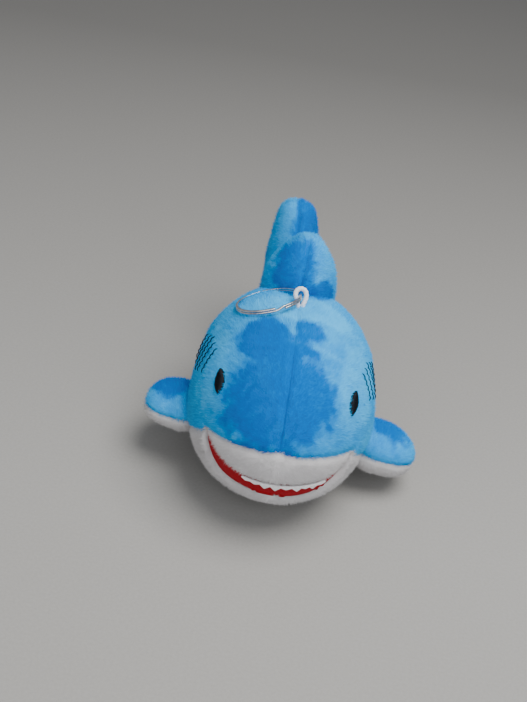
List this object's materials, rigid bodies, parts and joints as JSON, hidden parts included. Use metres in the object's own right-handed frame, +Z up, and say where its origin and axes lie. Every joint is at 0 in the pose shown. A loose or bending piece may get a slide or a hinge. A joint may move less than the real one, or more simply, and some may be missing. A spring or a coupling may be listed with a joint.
{
  "type": "plush shark",
  "caption": "Small stuffed shark with a blue back, white belly, red smiling mouth, soft fins and tail, and a cord loop with a split key ring on its back.",
  "frame": {"origin": "on the resting surface, under the centre of the shark's overall box", "axes": "+Z up, nose towards -Y, tail towards +Y, the shark's left side towards +X"},
  "size_m": [0.1045, 0.1426, 0.0786],
  "materials": {
    "blue_pile": "short plush pile, mid blue",
    "white_pile": "short plush pile, white",
    "red_felt": "felt, deep red",
    "white_felt": "thin felt, white",
    "black_thread": "satin embroidery thread",
    "fibre_fill": "loose polyester fibre",
    "white_cord": "braided cord",
    "nickel_steel": "nickel-plated spring steel"
  },
  "bodies": {
    "body": {"back_panel_left": "blue_pile", "back_panel_right": "blue_pile", "belly_panel": "white_pile", "muzzle_panel": "white_pile", "mouth_lining": "red_felt", "teeth": "white_felt", "body_stuffing": "fibre_fill", "eye_left": "black_thread", "eye_right": "black_thread", "gill_stitches_left": "black_thread", "gill_stitches_right": "black_thread"},
    "pectoral_fin_left": {"pectoral_fin_left_top": "blue_pile", "pectoral_fin_left_underside": "white_pile", "pectoral_fin_left_stuffing": "fibre_fill"},
    "pectoral_fin_right": {"pectoral_fin_right_top": "blue_pile", "pectoral_fin_right_underside": "white_pile", "pectoral_fin_right_stuffing": "fibre_fill"},
    "dorsal_fin": {"dorsal_fin_left_panel": "blue_pile", "dorsal_fin_right_panel": "blue_pile", "dorsal_fin_stuffing": "fibre_fill"},
    "tail_fin": {"tail_fin_left_panel": "blue_pile", "tail_fin_right_panel": "blue_pile", "tail_fin_stuffing": "fibre_fill"},
    "loop": {"cord_loop": "white_cord"},
    "ring": {"split_ring": "nickel_steel"}
  },
  "joints": [
    {"name": "pectoral_left_flap", "type": "hinge", "parent": "body", "child": "pectoral_fin_left", "pos_m": [0.0335, -0.023, 0.016], "axis": [-0.2182, 0.9615, -0.1669], "range_deg": [-20, 12], "stiffness_Nm_per_rad": 0.02},
    {"name": "pectoral_right_flap", "type": "hinge", "parent": "body", "child": "pectoral_fin_right", "pos_m": [-0.03348, -0.023, 0.018], "axis": [0.165, 0.9709, -0.1735], "range_deg": [-20, 6], "stiffness_Nm_per_rad": 0.02},
    {"name": "dorsal_flop", "type": "hinge", "parent": "body", "child": "dorsal_fin", "pos_m": [0, 0.014, 0.0555], "axis": [0, 1, 0], "range_deg": [-15, 15], "stiffness_Nm_per_rad": 0.02},
    {"name": "tail_wag", "type": "hinge", "parent": "body", "child": "tail_fin", "pos_m": [0, 0.044, 0.0315], "axis": [0, 0, 1], "range_deg": [-35, 15], "stiffness_Nm_per_rad": 0.02},
    {"name": "loop_lean", "type": "hinge", "parent": "body", "child": "loop", "pos_m": [0.0005, -0.011, 0.0635], "axis": [0, 0.9724, -0.2334], "range_deg": [0, 20], "stiffness_Nm_per_rad": 0.004},
    {"name": "ring_swing", "type": "hinge", "parent": "loop", "child": "ring", "pos_m": [0.0005, -0.0083, 0.06735], "axis": [0, 0.9724, -0.2334], "range_deg": [0, 110]}
  ]
}
